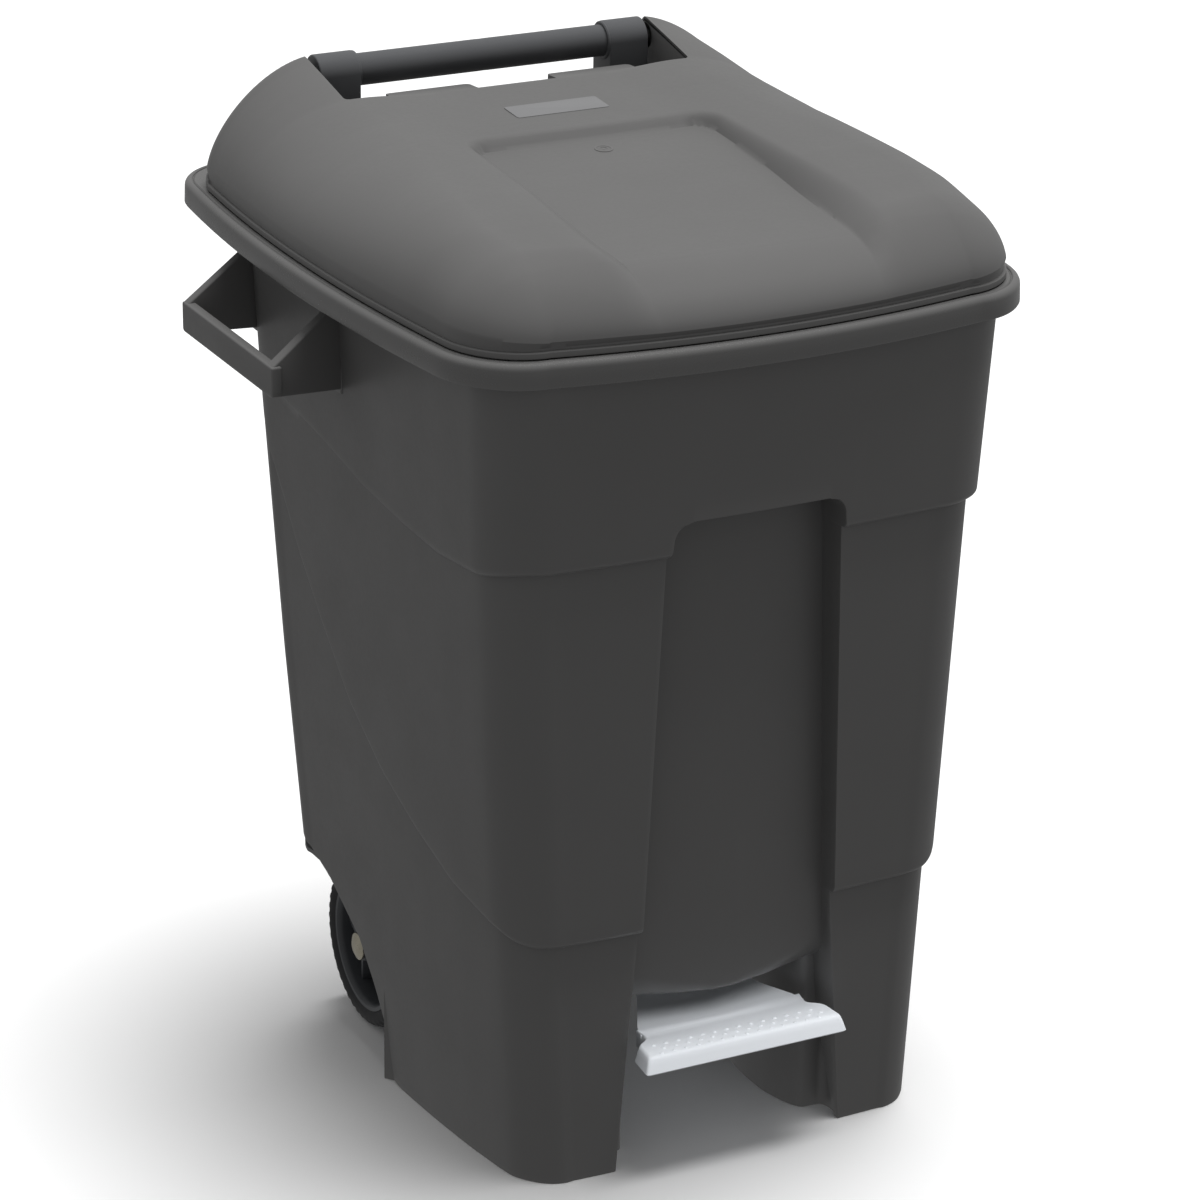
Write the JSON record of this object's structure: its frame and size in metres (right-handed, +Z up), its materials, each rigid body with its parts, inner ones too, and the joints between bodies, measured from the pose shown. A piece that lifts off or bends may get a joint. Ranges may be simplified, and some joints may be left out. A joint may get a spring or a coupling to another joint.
{
  "type": "pedal wheelie bin",
  "caption": "Pedal-operated wheelie bin: tapered plastic tub on front feet and rear wheels, hinged lid, push bar, side grips and a rod that lifts the lid.",
  "frame": {"origin": "on the ground, under the centre of the bounding box", "axes": "+Z up, -Y towards the pedal side, +X to the right as seen from the pedal side"},
  "size_m": [0.55, 0.5618, 0.7521],
  "materials": {
    "body_plastic": "fine moulded grain, satin",
    "lid_plastic": "fine moulded grain, satin",
    "black_plastic": "smooth satin",
    "pedal_plastic": "satin with raised pips",
    "label_plastic": "smooth matt",
    "steel": "zinc plated",
    "zinc": "yellow zinc plated",
    "hub_plastic": "satin",
    "tyre_rubber": "matt"
  },
  "bodies": {
    "tub": {"body": "body_plastic", "grip_left": "body_plastic", "grip_right": "body_plastic", "push_bar": "black_plastic", "bar_shoe_left": "black_plastic", "bar_shoe_right": "black_plastic", "hinge_pin_left": "steel", "hinge_pin_right": "steel", "pedal_pin": "steel", "pedal_pin_clips": "steel", "rod_guides": "black_plastic", "axle": "steel", "axle_cap_left": "zinc", "axle_cap_right": "zinc", "wheel_washers": "steel"},
    "lid": {"lid": "lid_plastic", "label_plate": "label_plastic"},
    "pedal": {"pedal": "pedal_plastic"},
    "lift_rod": {"lift_rod": "steel", "rod_end_clips": "steel"},
    "left_wheel": {"wheel_hub_left": "hub_plastic", "tyre_left": "tyre_rubber"},
    "right_wheel": {"wheel_hub_right": "hub_plastic", "tyre_right": "tyre_rubber"}
  },
  "joints": [
    {"name": "lid_hinge", "type": "hinge", "parent": "tub", "child": "lid", "pos_m": [0, 0.209, 0.735], "axis": [-1, 0, 0], "range_deg": [0, 80]},
    {"name": "pedal_pivot", "type": "hinge", "parent": "tub", "child": "pedal", "pos_m": [0, -0.085, 0.1], "axis": [1, 0, 0], "range_deg": [0, 12.9]},
    {"name": "rod_lift", "type": "slide", "parent": "tub", "child": "lift_rod", "axis": [0, 0, 1], "range_m": [0, 0.0593]},
    {"name": "left_wheel_spin", "type": "hinge", "parent": "tub", "child": "left_wheel", "pos_m": [-0.1445, 0.0725, 0.067], "axis": [1, 0, 0], "continuous": true},
    {"name": "right_wheel_spin", "type": "hinge", "parent": "tub", "child": "right_wheel", "pos_m": [0.1445, 0.0725, 0.067], "axis": [1, 0, 0], "continuous": true}
  ],
  "couplings": [
    {"joint": "pedal_pivot", "follows": "lid_hinge", "ratio": 0.1609},
    {"joint": "rod_lift", "follows": "lid_hinge", "m_per_rad": 0.042353}
  ]
}
